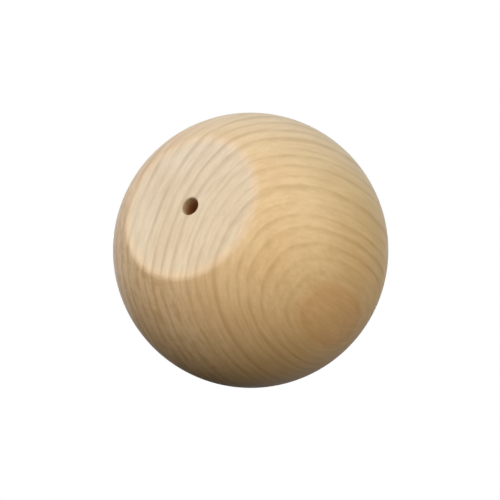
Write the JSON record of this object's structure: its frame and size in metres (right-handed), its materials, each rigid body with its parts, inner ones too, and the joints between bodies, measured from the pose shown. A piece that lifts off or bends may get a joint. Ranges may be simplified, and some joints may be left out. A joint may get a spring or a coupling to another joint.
{
  "type": "wooden ball knob",
  "caption": "Solid turned wooden ball with one sanded mounting flat and a blind pilot hole for the wood screw that fixes it as a knob or finial.",
  "frame": {"origin": "centre of the mounting flat, where the pilot hole opens", "axes": "+Z from the flat through the ball's centre, along the pilot hole; +X and +Y are any two square directions in the flat"},
  "size_m": [0.05, 0.05, 0.0461],
  "materials": {
    "pale_hardwood": "thin clear seal on the ball; bare and fine-sanded on the flat and in the hole"
  },
  "bodies": {
    "root": {"ball_knob": "pale_hardwood"}
  },
  "joints": []
}
